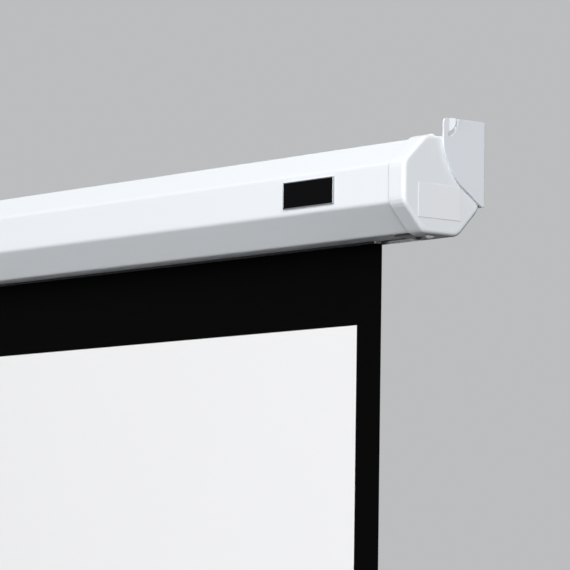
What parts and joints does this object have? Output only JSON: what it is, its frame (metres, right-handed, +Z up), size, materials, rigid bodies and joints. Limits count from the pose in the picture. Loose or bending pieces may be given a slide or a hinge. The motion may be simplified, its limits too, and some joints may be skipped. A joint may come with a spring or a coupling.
{
  "type": "pull down projector screen",
  "caption": "Manual pull-down projector screen: an octagonal wall casing with a spring roller, a black-bordered sheet, a weighted bottom bar and a hinged pull handle.",
  "frame": {"origin": "in the wall plane, midway between the two wall brackets, at the height of their wall screw slots", "axes": "+X along the casing towards the end with the nameplate, +Y into the wall, +Z up; the picture faces -Y"},
  "size_m": [2.0968, 0.0843, 1.3223],
  "materials": {
    "white_enamel": "satin white powder coat",
    "white_bracket": "satin white powder coat, slightly cooler",
    "zinc_steel": "zinc plated",
    "black_steel": "blackened steel",
    "bright_rail": "bright rolled aluminium",
    "spring_steel": "oiled spring wire",
    "nylon": "natural nylon",
    "dark_plastic": "dark grey moulded plastic",
    "black_fabric": "matt black coated fabric",
    "screen_fabric": "matt white coated fabric with a black border and back",
    "black_anodised": "satin black anodised",
    "handle_plastic": "fine-grained black plastic",
    "rubber": "black rubber",
    "black_gloss": "glossy black",
    "silver_rim": "bright bevelled rim",
    "paper_sticker": "plain white sticker"
  },
  "bodies": {
    "root": {"casing": "white_enamel", "slot_guard": "dark_plastic", "guard_end_right": "nylon", "guard_end_left": "nylon", "slot_rail": "bright_rail", "screen_fabric": "screen_fabric", "nameplate_rim": "silver_rim", "nameplate": "black_gloss", "end_cap_right": "white_enamel", "wall_bracket_right": "white_bracket", "roller_holder_right": "zinc_steel", "bracket_screw_lower_right": "zinc_steel", "bracket_screw_upper_right": "zinc_steel", "cap_screw_top_right": "white_enamel", "cap_screw_bottom_right": "zinc_steel", "slot_end_plate_right": "dark_plastic", "slot_plate_screw_right": "black_steel", "end_cap_left": "white_enamel", "wall_bracket_left": "white_bracket", "roller_holder_left": "zinc_steel", "bracket_screw_lower_left": "zinc_steel", "bracket_screw_upper_left": "zinc_steel", "cap_screw_top_left": "white_enamel", "cap_screw_bottom_left": "zinc_steel", "slot_end_plate_left": "dark_plastic", "slot_plate_screw_left": "black_steel", "gudgeon_bush": "nylon", "sticker": "paper_sticker", "spindle": "zinc_steel", "ratchet_wheel": "zinc_steel", "torsion_spring": "spring_steel", "spring_anchor": "zinc_steel"},
    "roller": {"roller_tube": "zinc_steel", "leader_wraps": "black_fabric", "roller_plug_right": "dark_plastic", "gudgeon_pin": "zinc_steel", "roller_plug_left": "dark_plastic", "pawl_pin_upper": "zinc_steel", "pawl_pin_lower": "zinc_steel", "shaft_guide": "nylon"},
    "bottom_bar": {"weight_bar": "black_anodised", "fabric_hem": "black_fabric", "hem_rod": "zinc_steel", "bar_cap_right": "dark_plastic", "bar_cap_left": "dark_plastic", "stop_pad_right": "rubber", "stop_pad_left": "rubber", "handle_mount": "zinc_steel", "mount_screw_right": "zinc_steel", "mount_screw_left": "zinc_steel", "handle_pin": "zinc_steel"},
    "handle": {"pull_handle": "handle_plastic"},
    "pawl_top": {"pawl_upper": "zinc_steel"},
    "pawl_bottom": {"pawl_lower": "zinc_steel"}
  },
  "joints": [
    {"name": "screen_travel", "type": "slide", "parent": "root", "child": "bottom_bar", "axis": [0, 0, 1], "range_m": [0, 1.1377], "deforming": ["screen_fabric"]},
    {"name": "roller_spin", "type": "hinge", "parent": "root", "child": "roller", "pos_m": [0, -0.05484, -0.045], "axis": [1, 0, 0], "range_deg": [0, 2880]},
    {"name": "handle_swing", "type": "hinge", "parent": "bottom_bar", "child": "handle", "pos_m": [0, -0.03387, -1.2603], "axis": [1, 0, 0], "range_deg": [-90, 35]},
    {"name": "pawl_top_swing", "type": "hinge", "parent": "roller", "child": "pawl_top", "pos_m": [-1.032, -0.04634, -0.0345], "axis": [1, 0, 0], "range_deg": [-20, 15]},
    {"name": "pawl_bottom_swing", "type": "hinge", "parent": "roller", "child": "pawl_bottom", "pos_m": [-1.032, -0.06335, -0.0555], "axis": [1, 0, 0], "range_deg": [-20, 15]}
  ],
  "couplings": [
    {"joint": "roller_spin", "follows": "screen_travel", "rad_per_m": 44.181}
  ]
}
